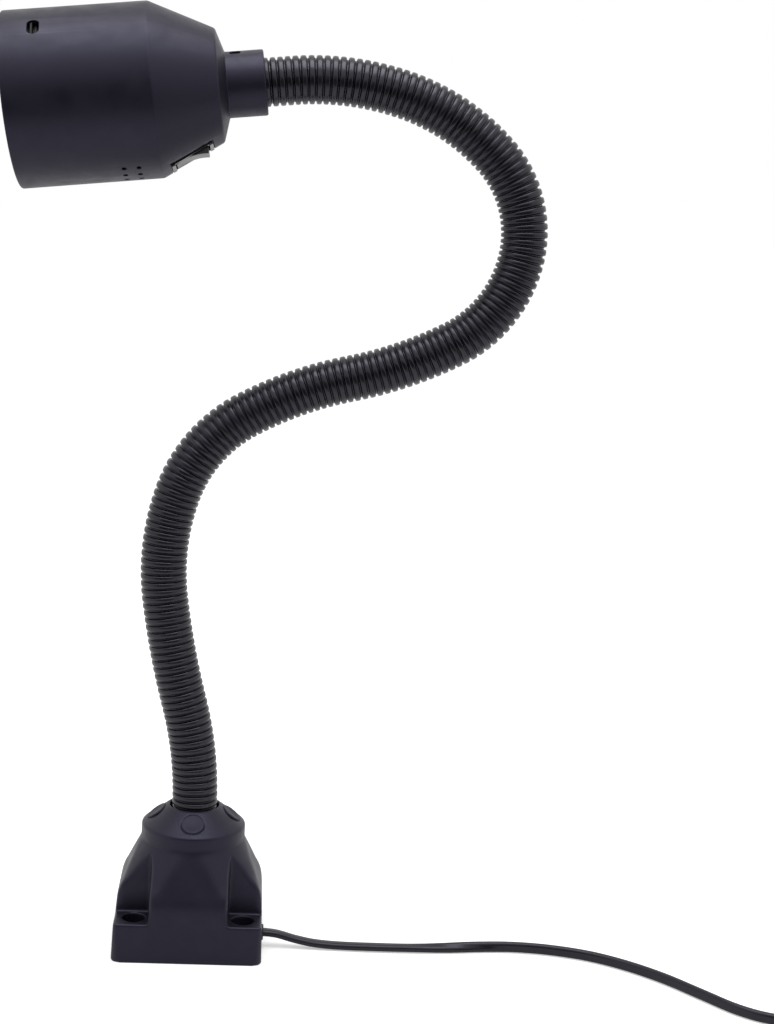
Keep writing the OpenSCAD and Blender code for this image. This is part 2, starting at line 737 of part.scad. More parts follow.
module lamp_lead() color([0.1, 0.1, 0.1]) {
    low = [[1.5, 2, lead_top], [1.5, 2, lead_top + 4], [1, 1, lead_top + 10], [0, 0, lead_top + 17]];
    tube(concat(low, [for (s = [-foot_ribs * rib_pitch - 9 : lead_step : lead_end]) hose_point(s)],
        [hose_point(lead_end + 1)]), lead_d / 2, 8, [0, 1, 0]);
}

module head_fitting() color([0.7, 0.7, 0.72]) {
    in_head() difference() {
        union() {
            translate([0, 0, -neck_gap]) sphere(ball_d / 2, $fn = 64);
            rod(waist_d / 2, -neck_gap, 0);
            rod(core_d / 2, stem_len - neck_gap, fitting_z + bite);
            rod(fitting_r, fitting_z, socket_len - close_fit);
            rod(stud_r, socket_len - 1, web_z + nut_t + 1);
        }
        rod(core_bore / 2, -neck_gap - ball_d, web_z + nut_t + 2);
    }
}

module neck_nut() color([0.7, 0.7, 0.72]) {
    in_head() translate([0, 0, web_z]) nut(17, stud_r + close_fit, nut_t - 1);
}

module neck_screw() color([0.25, 0.25, 0.27]) {
    in_head() rotate([0, 0, neck_screw_turn]) translate([0, 0, neck_screw_z]) difference() {
        rod_x(neck_screw_r, fitting_r + pin_fit, neck_r - 1.1);
        translate([neck_r - 2.6, 0, 0]) rotate([0, 90, 0]) cylinder(d = 3, h = 3, $fn = 6);
    }
}

// The head's outer form, and with its hollow
outer_form = [[neck_r, 0, 0.8], [neck_r, neck_len, 0.5], [cone_r, cone_z0, 2], [head_r, cone_z1, 3],
    [head_r, rim_z, 0.8]];
shelf_z = sink_z - fit - shelf_t;
inner_form = [[bore_r, rim_z, 0.6], [bore_r, sink_z - fit, 0], [shelf_r, sink_z - fit, 0],
    [shelf_r, shelf_z, 0], [bore_r, shelf_z - 4, 0], [bore_r, cone_z1, 0],
    [cone_r - head_wall, cone_z0 + 0.6, 0],
    [neck_r - 1.5, web_z, 0], [stud_r + close_fit, web_z, 0], [stud_r + close_fit, socket_len, 0],
    [socket_r, socket_len, 0], [socket_r, 0, 0]];

module slot_hole(r0, r1, wide, long) {
    translate([r0, 0, 0]) rotate([0, 90, 0]) linear_extrude(r1 - r0) {
        square([wide, long - wide], center = true);
        for (y = [-1, 1]) translate([0, y * (long - wide) / 2]) circle(d = wide, $fn = 48);
    }
}

module at_slots() {
    for (a = [0, 180]) rotate([0, 0, slot_turn + a]) translate([0, 0, rim_z - slot_back]) children();
}

module lamp_housing() color([0.13, 0.13, 0.17]) {
    in_head() difference() {
        union() {
            rotate_extrude($fn = 128) polygon(outline(concat(outer_form, inner_form)));
            intersection() {
                rotate_extrude($fn = 128) polygon(outline(concat([[0, 0, 0]], outer_form, [[0, rim_z, 0]])));
                in_switch() translate([-switch_l / 2 - seat_rim, -switch_w / 2 - 2 * head_wall, seat_z])
                    cube([switch_l + 2 * seat_rim, switch_w + 4 * head_wall, 6]);
            }
        }
        in_switch() translate([-switch_l / 2 - fit, -cone_r, -notch_depth])
            cube([switch_l + 2 * fit, cone_d, cone_r]);
        in_switch() translate([-can_l - fit, -can_w - fit, can_z])
            cube([2 * (can_l + fit), 2 * (can_w + fit), -can_z + 2]);
        at_slots() slot_hole(ring_r - 1, head_r + 1, slot_w, slot_l);
        for (i = [0 : vents_round - 1], j = [0, 1])
            rotate([0, 0, 180 + (i - (vents_round - 1) / 2) * vent_turn])
                translate([0, 0, vent_z + j * vent_pitch]) rod_x(vent_d / 2, bore_r - 6, head_r + 1);
        rotate([0, 0, neck_screw_turn]) translate([0, 0, neck_screw_z])
            rod_x(neck_screw_r + close_fit, 8, neck_r + 1);
        for (a = [60 : 120 : 300]) rotate([0, 0, a]) translate([sink_screw_r, 0, 0])
            rod(1 + close_fit, shelf_z - 4, sink_z);
    }
}

module heat_sink() color([0.72, 0.73, 0.75]) {
    in_head() difference() {
        union() {
            rod(ring_r, sink_z, sink_z + sink_t);
            rod(7, sink_z - fin_len, sink_z + bite);
            for (i = [0 : fins - 1]) rotate([0, 0, 360 * (i + 0.5) / fins])
                translate([6, -fin_t / 2, sink_z - fin_len]) cube([shelf_r - 6.6, fin_t, fin_len + bite]);
        }
        for (a = [60 : 120 : 300]) rotate([0, 0, a]) translate([sink_screw_r, 0, 0])
            rod(1 + close_fit, sink_z - 1, sink_z + sink_t + 1);
        for (a = [0 : 120 : 240]) rotate([0, 0, a]) translate([board_screw_r, 0, 0])
            rod(screw_r + close_fit, sink_z - 1, sink_z + sink_t + 1);
        for (y = [-1, 1]) translate([0, y * wire_hole_r, 0]) rod(1.6, sink_z - 1, sink_z + sink_t + 1);
    }
}

module sink_screws() color("silver") {
    in_head() for (a = [60 : 120 : 300]) rotate([0, 0, a])
        translate([sink_screw_r, 0, sink_z + sink_t + pin_fit]) screw(1, 1.6, 1.2, sink_t + 3);
}

module led_board() color([0.9, 0.9, 0.88]) {
    z0 = sink_z + sink_t;
    in_head() difference() {
        rod(board_d / 2, z0, z0 + board_t);
        for (a = [0 : 120 : 240]) rotate([0, 0, a]) translate([board_screw_r, 0, 0])
            rod(screw_r + close_fit, z0 - 1, z0 + board_t + 1);
    }
}

led_z = sink_z + sink_t + board_t;

module led_chip() color([0.95, 0.85, 0.4]) {
    in_head() rod(led_d / 2, led_z, led_z + led_t);
}

module board_screws() color("silver") {
    in_head() for (a = [0 : 120 : 240]) rotate([0, 0, a])
        translate([board_screw_r, 0, led_z + pin_fit]) screw(screw_r, 2.4, 1.5, board_t + 3);
}

bowl_in = led_d / 2 + 1.2;
bowl_foot = led_z + 4;
function bowl(i, back) = let(u = i / 8) [bowl_in + back + (lens_r - 2.2 - bowl_in - back) * u,
    bowl_foot - back * 0.3 + (bowl_z - 1.2 - bowl_foot) * pow(u, 1.7)];

module reflector() color([0.9, 0.9, 0.92]) {
    in_head() rotate_extrude($fn = 128) polygon(concat([[bowl_in, led_z]],
        [for (i = [0 : 8]) bowl(i, 0)], [[lens_r - 2.2, bowl_z], [lens_r - close_fit, bowl_z],
        [lens_r - close_fit, bowl_z - 1.2]], [for (i = [8 : -1 : 0]) bowl(i, 1.1) - [0, i == 8 ? 0.05 : 0]],
        [[bowl_in + 1.1, led_z]]));
}

module lens() color([0.9, 0.92, 0.95, 0.6]) {
    in_head() rotate_extrude($fn = 128) polygon(outline([[0, lens_z - lens_t, 0],
        [lens_r - close_fit, lens_z - lens_t, 0], [lens_r - close_fit, lens_z, 0.4], [0, lens_z, 0]]));
}

groove = 0.6;

module lens_ring() color([0.1, 0.1, 0.11]) {
    in_head() {
        difference() {
            rotate_extrude($fn = 128) difference() {
                translate([lens_r - 1.6, ring_z0]) square([ring_r - lens_r + 1.6, ring_len]);
                translate([0, ring_z0 - 1]) square([lens_r + close_fit, ring_z1 - ring_z0 - 0.3]);
                for (i = [-3 : 3]) translate([ring_r - groove, rim_z - slot_back + i * 1.8 - 0.45])
                    square([groove + 1, 0.9]);
            }
        }
        difference() {
            at_slots() slot_hole(ring_r - 1.2, head_r - 1, slot_w - 2 * fit, slot_l - 2 * fit);
            rotate_extrude($fn = 128) for (i = [-1 : 1])
                translate([ring_r - groove, rim_z - slot_back + i * 1.8 - 0.45]) square([6, 0.9]);
        }
    }
}

module switch_body() color([0.06, 0.06, 0.06]) {
    half = switch_l / 2;
    in_head() in_switch() difference() {
        union() {
            translate([-half, -switch_w / 2, -notch_depth]) cube([switch_l, switch_w, notch_depth + 0.3]);
            translate([-can_l, -can_w, can_z]) cube([2 * can_l, 2 * can_w, -can_z - notch_depth + bite]);
        }
        translate([-well_l, -well_w, well_z]) cube([2 * well_l, 2 * well_w, 12]);
        translate([-well_l, -switch_w, -notch_depth + 0.8]) cube([2 * well_l, 2 * switch_w, 4]);
        translate([0, can_w + 1, pivot_z]) rotate([90, 0, 0])
            cylinder(r = pivot_r + pin_fit, h = 2 * can_w + 2, $fn = 48);
    }
}

module switch_rocker() color([0.08, 0.08, 0.08]) {
    in_head() in_switch() translate([0, 0, pivot_z]) rotate([0, rock_angle / 2, 0]) {
        rotate([90, 0, 0]) linear_extrude(rocker_w, center = true) {
            difference() {
                intersection() {
                    circle(rocker_r, $fn = 96);
                    polygon([[-20, 20], [20, 20], [20, -1], [3.6, -2.6], [1, -5.4], [-1, -5.4], [-3.6, -2.6],
                        [-20, -1]]);
                }
                translate([0, crown + dish_r]) circle(dish_r, $fn = 128);
            }
        }
        translate([0, can_w - 0.15, 0]) rotate([90, 0, 0])
            cylinder(r = pivot_r, h = 2 * can_w - 0.3, $fn = 48);
    }
}

module switch_terminals() color([0.8, 0.75, 0.5]) {
    in_head() in_switch() for (x = [-1, 1]) translate([x * tab_x - 0.4, -2.4, can_z - tab_len])
        cube([0.8, 4.8, tab_len]);
}

// Wires in the head, from the lead and the switch to the light's board
module head_wires() color([0.5, 0.2, 0.15]) {
    start = neck_len + 10 + pin_fit;
    back = sink_z - fin_len;
    tab_z = can_z - tab_len;
    in_head() {
        tube([[-0.9, 0, start], [-0.9, 0, start + 2], [-2, 0, start + 6], [-4, -0.5, start + 10],
            from_switch(-tab_x, tab_z - 3), from_switch(-tab_x, tab_z - pin_fit)], 0.8, 6, [0, 1, 0]);
        tube([from_switch(tab_x, tab_z - pin_fit), from_switch(tab_x, tab_z - 3), [-6, -8, back - 4],
            [-1.5, -wire_hole_r + 3, back], [0, -wire_hole_r, back + 4], [0, -wire_hole_r, led_z - 1]],
            0.8, 6, [1, 0, 0]);
        tube([[0.9, 0, start], [0.9, 0, start + 2], [1.5, 2, start + 6], [3, 9, start + 14],
            [1.5, wire_hole_r - 3, back - 4], [0, wire_hole_r, back + 2], [0, wire_hole_r, led_z - 1]],
            0.8, 6, [1, 0, 0]);
    }
}

base_cover();
base_plate();
plate_screws();
clamp_flange();
flange_screws();
screw_plugs();
base_fitting();
fitting_nut();
driver_board();
driver_parts();
terminal_block();
cord_gland();
cord_clamp();
clamp_screws();
supply_wires();
power_cord();
cord_coil();
cord_tie();
plug_body();
plug_pins();
lamp_lead();
for (k = [1 : lengths + 1]) hose_length(k);
for (k = [1 : lengths]) core(k);
head_fitting();
neck_nut();
neck_screw();
lamp_housing();
heat_sink();
sink_screws();
led_board();
led_chip();
board_screws();
reflector();
lens();
lens_ring();
switch_body();
switch_rocker();
switch_terminals();
head_wires();
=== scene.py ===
import json
import math

import bmesh
import bpy
import numpy as np
from mathutils import Matrix, Vector


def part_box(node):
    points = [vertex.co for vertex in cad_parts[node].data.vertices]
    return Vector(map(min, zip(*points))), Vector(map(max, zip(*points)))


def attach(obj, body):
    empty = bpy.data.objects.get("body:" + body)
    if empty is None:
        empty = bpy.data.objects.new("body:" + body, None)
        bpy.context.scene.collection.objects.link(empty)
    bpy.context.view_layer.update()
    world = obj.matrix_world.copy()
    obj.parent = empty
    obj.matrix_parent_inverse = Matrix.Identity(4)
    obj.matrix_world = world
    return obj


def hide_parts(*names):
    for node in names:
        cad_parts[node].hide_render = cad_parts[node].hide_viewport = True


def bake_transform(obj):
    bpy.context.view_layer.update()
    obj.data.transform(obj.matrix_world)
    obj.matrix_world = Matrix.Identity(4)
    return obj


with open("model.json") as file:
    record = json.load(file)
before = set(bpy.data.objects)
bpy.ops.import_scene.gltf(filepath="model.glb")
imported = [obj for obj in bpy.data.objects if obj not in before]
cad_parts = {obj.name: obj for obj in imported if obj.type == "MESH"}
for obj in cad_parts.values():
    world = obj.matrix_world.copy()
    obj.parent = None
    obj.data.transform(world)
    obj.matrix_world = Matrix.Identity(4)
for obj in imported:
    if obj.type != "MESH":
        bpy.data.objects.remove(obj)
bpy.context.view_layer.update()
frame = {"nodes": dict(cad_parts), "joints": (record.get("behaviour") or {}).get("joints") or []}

NODES = frame["nodes"]
MM = 0.001


def mm(*numbers):
    """A point given in millimetres, in metres."""
    return Vector(numbers) * MM


def add(name, data):
    obj = bpy.data.objects.new(name, data)
    bpy.context.scene.collection.objects.link(obj)
    return obj


# Camera

EYE = mm(18.0, -783.6, 339.3)
RIGHT = Vector((0.9956, -0.0716, 0.0609))
AHEAD = Vector((0.0807, 0.9831, -0.1641)).normalized()
FOCAL_PX = 1726.43
PHOTO_H = 1024
SENSOR = 36.0


def make_camera():
    right = (RIGHT - AHEAD * RIGHT.dot(AHEAD)).normalized()
    up = right.cross(AHEAD)
    data = bpy.data.cameras.new("camera")
    data.sensor_width = SENSOR
    data.lens = SENSOR * FOCAL_PX / PHOTO_H
    data.clip_start = 0.01
    data.clip_end = 500.0
    data.dof.use_dof = False
    camera = add("camera", data)
    turn = Matrix((right, up, -AHEAD)).transposed()
    camera.matrix_world = Matrix.Translation(EYE) @ turn.to_4x4()
    bpy.context.scene.camera = camera


make_camera()


# Meshes

def mesh_from(name, verts, faces, smooth=True):
    mesh = bpy.data.meshes.new(name)
    mesh.from_pydata([tuple(v) for v in verts], [], faces)
    mesh.validate()
    for p in mesh.polygons:
        p.use_smooth = smooth
    return mesh


def crisp(mesh, degrees):
    """Smooth shading with the edges over that angle kept sharp."""
    bm = bmesh.new()
    bm.from_mesh(mesh)
    for f in bm.faces:
        f.smooth = True
    for e in bm.edges:
        e.smooth = len(e.link_faces) == 2 and e.calc_face_angle(0.0) < math.radians(degrees)
    bm.to_mesh(mesh)
    bm.free()


def outward(mesh, weld=0.0):
    """Turns all faces outward, after points within weld metres of each other are joined."""
    bm = bmesh.new()
    bm.from_mesh(mesh)
    if weld:
        bmesh.ops.remove_doubles(bm, verts=bm.verts, dist=weld)
    bmesh.ops.recalc_face_normals(bm, faces=bm.faces)
    bm.to_mesh(mesh)
    bm.free()


def loft(name, rings, caps=True):
    """A skin through rings of as many points each, closed across its ends."""
    n = len(rings[0])
    verts = [p for ring in rings for p in ring]
    faces = []
    for i in range(len(rings) - 1):
        for k in range(n):
            a, b = i * n + k, i * n + (k + 1) % n
            faces.append((a, b, b + n, a + n))
    if caps:
        faces.append(tuple(reversed(range(n))))
        faces.append(tuple(range((len(rings) - 1) * n, len(rings) * n)))
    return mesh_from(name, verts, faces)


SAME_POINT = 0.002
FLAT_WITHIN = 0.6
EDGE_SEGMENTS = 2
EDGE_OVER = 28.0


def softened(node, name, width):
    """A copy of a node's mesh with rounded edges, which stands for the node."""
    bm = bmesh.new()
    bm.from_mesh(NODES[node].data)
    bmesh.ops.remove_doubles(bm, verts=bm.verts, dist=SAME_POINT * MM)
    bmesh.ops.dissolve_limit(bm, angle_limit=math.radians(FLAT_WITHIN), verts=bm.verts, edges=bm.edges)
    mesh = bpy.data.meshes.new(name)
    bm.to_mesh(mesh)
    bm.free()
    if "custom_normal" in mesh.attributes:
        mesh.attributes.remove(mesh.attributes["custom_normal"])
    for p in mesh.polygons:
        p.use_smooth = True
    mesh.materials.clear()
    obj = add(name, mesh)
    bevel = obj.modifiers.new("edges", "BEVEL")
    bevel.width = width * MM
    bevel.segments = EDGE_SEGMENTS
    bevel.limit_method = "ANGLE"
    bevel.angle_limit = math.radians(EDGE_OVER)
    bevel.use_clamp_overlap = False
    bevel.miter_outer = "MITER_ARC"
    bevel.harden_normals = True
    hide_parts(node)
    return obj


SMOOTHINGS = 60
SMOOTH_STEP = 0.5


def moulded(node, name, voxel, shape_in, soft):
    """A node's form as moulded: remeshed, drawn in by shape_in(points, normals) in mm, and smoothed
    where soft(points) asks, from 0 to 1."""
    shape = add("raw", NODES[node].data.copy())
    remesh = shape.modifiers.new("voxels", "REMESH")
    remesh.mode = "VOXEL"
    remesh.voxel_size = voxel * MM
    made = shape.evaluated_get(bpy.context.evaluated_depsgraph_get())
    mesh = bpy.data.meshes.new_from_object(made)
    mesh.name = name
    bpy.data.objects.remove(shape)
    count = len(mesh.vertices)
    co = np.empty(count * 3)
    mesh.vertices.foreach_get("co", co)
    co = co.reshape(count, 3)
    normals = np.empty(count * 3)
    mesh.vertices.foreach_get("normal", normals)
    co = shape_in(co / MM, normals.reshape(count, 3)) * MM
    edges = np.empty(len(mesh.edges) * 2, dtype=np.int64)
    mesh.edges.foreach_get("vertices", edges)
    a, b = edges.reshape(-1, 2).T
    ends = np.concatenate([a, b])
    others = np.concatenate([b, a])
    degree = np.bincount(ends, minlength=count).reshape(-1, 1)
    weight = soft(co / MM).reshape(-1, 1)
    for i in range(SMOOTHINGS):
        around = np.stack([np.bincount(ends, co[others, k], count) for k in range(3)], 1) / degree
        reach = np.clip(weight * SMOOTHINGS - i, 0, 1)
        co = co + SMOOTH_STEP * reach * (around - co)
    mesh.vertices.foreach_set("co", co.ravel())
    mesh.materials.clear()
    for f in mesh.polygons:
        f.use_smooth = True
    mesh.update()
    obj = add(name, mesh)
    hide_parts(node)
    return obj


# Materials

def new_material(name):
    mat = bpy.data.materials.new(name)
    mat.use_nodes = True
    nodes = mat.node_tree.nodes
    nodes.clear()
    out = nodes.new("ShaderNodeOutputMaterial")
    shader = nodes.new("ShaderNodeBsdfPrincipled")
    mat.node_tree.links.new(shader.outputs["BSDF"], out.inputs["Surface"])
    return mat, shader


def node(mat, kind, **values):
    made = mat.node_tree.nodes.new(kind)
    for key, value in values.items():
        if key in made.inputs:
            made.inputs[key].default_value = value
        else:
            setattr(made, key, value)
    return made


def link(mat, source, target):
    mat.node_tree.links.new(source, target)


def noise(mat, scale, detail=2.0, stretch=(1, 1, 1)):
    """Noise fixed to the part, whose features are about 1 / scale metres."""
    place = node(mat, "ShaderNodeTexCoord")
    fit = node(mat, "ShaderNodeMapping")
    fit.inputs["Scale"].default_value = stretch
    tex = node(mat, "ShaderNodeTexNoise", Scale=scale, Detail=detail)
    link(mat, place.outputs["Object"], fit.inputs["Vector"])
    link(mat, fit.outputs["Vector"], tex.inputs["Vector"])
    return tex.outputs["Fac"]


def spread(mat, source, low, high, start=0.3, end=0.7):
    """Carries a value from between start and end to between low and high."""
    made = node(mat, "ShaderNodeMapRange")
    made.inputs["From Min"].default_value = start
    made.inputs["From Max"].default_value = end
    made.inputs["To Min"].default_value = low
    made.inputs["To Max"].default_value = high
    link(mat, source, made.inputs["Value"])
    return made.outputs["Result"]


def blend_colours(mat, factor, first, second):
    made = node(mat, "ShaderNodeMix", data_type="RGBA")
    link(mat, factor, made.inputs["Factor"])
    for socket, value in (("A", first), ("B", second)):
        entry = [s for s in made.inputs if s.name == socket and s.type == "RGBA"][0]
        if hasattr(value, "is_linked"):
            link(mat, value, entry)
        else:
            entry.default_value = (*value, 1.0)
    return [s for s in made.outputs if s.type == "RGBA"][0]


def bump(mat, shader, height, distance):
    """Raises the surface by up to distance in millimetres."""
    made = node(mat, "ShaderNodeBump", Strength=1.0, Distance=distance * MM)
    link(mat, height, made.inputs["Height"])
    link(mat, made.outputs["Normal"], shader.inputs["Normal"])


TONE_SCALE = 45.0
GLOSS_SCALE = 140.0
# Pointiness at which the painted edge highlight starts, and at which it is full
HIGHLIGHT_POINTINESS = (0.52, 0.57)
# How far up an edge faces where the painted edge highlight starts, and where it is full
HIGHLIGHT_FACING = (0.3, 0.7)


def plastic(name, colour, rough, grain=0.25, depth=0.012, tint=1.25, edge_highlight=0.0, specular=0.5,
            sheen=(1.0, 1.0, 1.0)):
    """Moulded plastic: a fine spark-eroded grain, slow changes of gloss and tone, and a painted highlight on
    pointy edges that face up.
    """
    mat, shader = new_material(name)
    shader.inputs["Specular IOR Level"].default_value = specular
    shader.inputs["Specular Tint"].default_value = (*sheen, 1.0)
    slow = noise(mat, TONE_SCALE, 3.0)
    tone = blend_colours(mat, spread(mat, slow, 0.0, 1.0), colour, tuple(c * tint for c in colour))
    if edge_highlight:
        place = node(mat, "ShaderNodeNewGeometry")
        parts = node(mat, "ShaderNodeSeparateXYZ")
        link(mat, place.outputs["Normal"], parts.inputs["Vector"])
        # Painted highlight: pointy edges that face up are blended towards a colour about seven times paler,
        # as if lit from above
        edge = node(mat, "ShaderNodeMath", operation="MULTIPLY")
        link(mat, spread(mat, place.outputs["Pointiness"], 0.0, edge_highlight, *HIGHLIGHT_POINTINESS), edge.inputs[0])
        link(mat, spread(mat, parts.outputs["Z"], 0.0, 1.0, *HIGHLIGHT_FACING), edge.inputs[1])
        tone = blend_colours(mat, edge.outputs[0], tone, tuple(c * 7 + 0.02 for c in colour))
    link(mat, tone, shader.inputs["Base Color"])
    fine = noise(mat, 1.0 / (grain * MM), 2.0)
    patch = noise(mat, GLOSS_SCALE, 4.0)
    link(mat, spread(mat, patch, rough - 0.05, rough + 0.06), shader.inputs["Roughness"])
    bump(mat, shader, fine, depth)
    return mat


def metal(name, colour, rough, stretch=(1, 1, 1), depth=0.004, scale=900.0):
    """Bare metal with tool marks along one way and a slightly uneven polish."""
    mat, shader = new_material(name)
    shader.inputs["Metallic"].default_value = 1.0
    marks = noise(mat, scale, 3.0, stretch)
    tone = blend_colours(mat, spread(mat, marks, 0.0, 1.0), colour, tuple(c * 0.82 for c in colour))
    link(mat, tone, shader.inputs["Base Color"])
    link(mat, spread(mat, marks, rough - 0.06, rough + 0.08), shader.inputs["Roughness"])
    bump(mat, shader, marks, depth)
    return mat


def glass(name, colour, rough=0.02, ior=1.49):
    mat, shader = new_material(name)
    shader.inputs["Transmission Weight"].default_value = 1.0
    shader.inputs["IOR"].default_value = ior
    haze = noise(mat, 70.0, 3.0)
    link(mat, blend_colours(mat, spread(mat, haze, 0.0, 1.0), colour, tuple(c * 0.985 for c in colour)),
         shader.inputs["Base Color"])
    link(mat, spread(mat, haze, rough, rough + 0.02), shader.inputs["Roughness"])
    return mat


PIN_SLEEVE = 10.0


def pin_material(face_y):
    """Plug pins with a black insulating sleeve over the half next to the plug."""
    mat, shader = new_material("plug_pins")
    place = node(mat, "ShaderNodeTexCoord")
    split = node(mat, "ShaderNodeSeparateXYZ")
    link(mat, place.outputs["Object"], split.inputs["Vector"])
    bare = node(mat, "ShaderNodeMath", operation="GREATER_THAN")
    bare.inputs[1].default_value = face_y + PIN_SLEEVE * MM
    link(mat, split.outputs["Y"], bare.inputs[0])
    marks = noise(mat, 800.0, 3.0, (1, 0.1, 1))
    nickel = blend_colours(mat, spread(mat, marks, 0.0, 1.0), (0.72, 0.69, 0.6), (0.6, 0.57, 0.5))
    link(mat, blend_colours(mat, bare.outputs[0], (0.012, 0.012, 0.014), nickel), shader.inputs["Base Color"])
    link(mat, bare.outputs[0], shader.inputs["Metallic"])
    link(mat, spread(mat, marks, 0.22, 0.34), shader.inputs["Roughness"])
    return mat


VIOLET = (0.72, 0.69, 1.0)
# The shell carries the painted highlight on its up-facing edges
SHELL = plastic("shell", (0.0046, 0.0044, 0.0076), 0.43, edge_highlight=0.8, specular=0.4, sheen=VIOLET)
PLUGS = plastic("spot_plugs", (0.0054, 0.0052, 0.0086), 0.5, specular=0.4, sheen=VIOLET)
SLEEVE = plastic("sleeve", (0.0035, 0.0035, 0.0048), 0.28, grain=0.6, depth=0.004, specular=0.5,
                 sheen=(0.85, 0.83, 1.0))
# Painted shade: a near-black, barely reflecting material laid into the sleeve's grooves
GROOVE_SHADE = plastic("sleeve_grooves", (0.0008, 0.0008, 0.0014), 0.7, grain=0.6, specular=0.05)
LEAD = plastic("lead", (0.0026, 0.0026, 0.0034), 0.34, grain=0.5, depth=0.006, specular=0.45,
               sheen=(0.85, 0.83, 1.0))
PLUG = plastic("plug", (0.010, 0.010, 0.012), 0.5, grain=0.3)
TRIM = plastic("trim", (0.004, 0.004, 0.005), 0.5, specular=0.2)
SWITCH = plastic("switch", (0.006, 0.006, 0.007), 0.2, grain=0.5, depth=0.003)
ROCKER = plastic("rocker", (0.006, 0.006, 0.007), 0.25, grain=0.5, depth=0.003)
BLOCK = plastic("block", (0.62, 0.61, 0.55), 0.42, tint=0.94)
CIRCUIT = plastic("circuit", (0.012, 0.09, 0.03), 0.3, grain=0.8, tint=1.5)
DRIVER = plastic("driver", (0.42, 0.34, 0.05), 0.35, grain=0.9, tint=0.8)
WIRES = plastic("wires", (0.25, 0.04, 0.02), 0.35, tint=0.8)
BOARD = plastic("light_board", (0.78, 0.78, 0.75), 0.35, tint=0.96)
PHOSPHOR = plastic("phosphor", (0.85, 0.62, 0.08), 0.3, grain=0.1, tint=0.92)
STEEL = metal("steel", (0.56, 0.56, 0.57), 0.34)
BLACKED = metal("blacked", (0.02, 0.02, 0.022), 0.5)
SCREWS = metal("screws", (0.62, 0.62, 0.62), 0.26, scale=2500.0)
CORE = metal("core", (0.5, 0.51, 0.53), 0.3, scale=1800.0)
ALLOY = metal("alloy", (0.72, 0.73, 0.75), 0.32, scale=1200.0)
CONTACTS = metal("contacts", (0.75, 0.62, 0.35), 0.3, scale=1500.0)
MIRROR = metal("mirror", (0.93, 0.93, 0.94), 0.1, depth=0.001, scale=300.0)
CLEAR = glass("lens", (0.97, 0.98, 0.99))


def dress(obj, mat, body=None):
    """Gives an object its material and, if it is a new piece, its body."""
    obj.data.materials.clear()
    obj.data.materials.append(mat)
    if body:
        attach(obj, body)
    return obj


# Mains lead

CORD_D = 5.0
CORD_T = 3.4
# Depth and half width of the furrow between the lead's two cores
FURROW = 0.1
FURROW_W = 0.55
SECTION_POINTS = 28
# From where to where, along X, the lead comes down onto the floor, and turns on edge
DROP_FROM = 36.0
DROP_TO = 52.0
TURN_FROM = 100.0
TURN_TO = 158.0
LAY_Z = 2.6
EXIT = (35.1, -12, 7)
COIL_TURNS = 6.25
COIL_PARTS = 48
COIL_IN_R = 20.0
COIL_STEP = 5.5
COIL_Z1 = 3.9
COIL_Z2 = 9.5
COIL_HALF = COIL_TURNS / 2
COIL_R = COIL_IN_R + COIL_STEP * COIL_HALF
COIL_X = 320.0
COIL_Y = -84.0 + COIL_R
PLUG_X = COIL_X + COIL_R
PLUG_Y = COIL_Y + 28.0
PLUG_Z = 7.1
PLUG_L = 34.0
ROUTE = [EXIT, (42, -12, 6.5), (50, -12.2, 4.9), (59, -12.6, 3.3), (70, -13, LAY_Z), (85, -13.6, LAY_Z),
         (101, -13.6, LAY_Z), (120, -13, LAY_Z), (138, -11.4, LAY_Z), (155, -11, LAY_Z),
         (172, -13.2, LAY_Z), (190, -19, LAY_Z), (206, -28.6, LAY_Z), (221, -41.6, LAY_Z),
         (235, -57.8, LAY_Z), (248, -72.6, LAY_Z), (262, -81, LAY_Z), (280, -84, 3), (300, -84, 3.7),
         (COIL_X, -84, COIL_Z1)]
TAIL = [(PLUG_X, COIL_Y, COIL_Z2), (PLUG_X, COIL_Y + 6, COIL_Z2 - 0.1),
        (PLUG_X, COIL_Y + 13, (COIL_Z2 + PLUG_Z) / 2), (PLUG_X, COIL_Y + 20, PLUG_Z + 0.1),
        (PLUG_X, PLUG_Y, PLUG_Z)]


def through(points, steps):
    """A smooth curve through points, with steps parts between each two."""
    p = [Vector(q) for q in points]
    line = []
    for i in range(len(p) - 1):
        a, b, c, d = p[max(i - 1, 0)], p[i], p[i + 1], p[min(i + 2, len(p) - 1)]
        for k in range(steps):
            t = k / steps
            line.append(0.5 * (2 * b + (c - a) * t + (2 * a - 5 * b + 4 * c - d) * t * t
                               + (3 * b - 3 * c + d - a) * t ** 3))
    return line + [p[-1]]


def coil_point(t):
    r = COIL_IN_R + COIL_STEP * abs(t - COIL_HALF)
    a = math.radians(360 * t - 90)
    up = max(0.0, min(1.0, (t - COIL_HALF + 0.25) * 2))
    return Vector((COIL_X + r * math.cos(a), COIL_Y + r * math.sin(a), COIL_Z1 + (COIL_Z2 - COIL_Z1) * up))


def ramp(x, low, high):
    """From 0 at low to 1 at high, with a soft start and end."""
    t = max(0.0, min(1.0, (x - low) / (high - low)))
    return t * t * (3 - 2 * t)


def lead_section():
    """Points round the flat lead: across it, and up through its thickness."""
    ring = []
    for a, b in rounded(CORD_D / 2, CORD_T / 2, 2.5, SECTION_POINTS):
        ring.append((a, b * (1 - FURROW * math.exp(-(a / FURROW_W) ** 2))))
    return ring


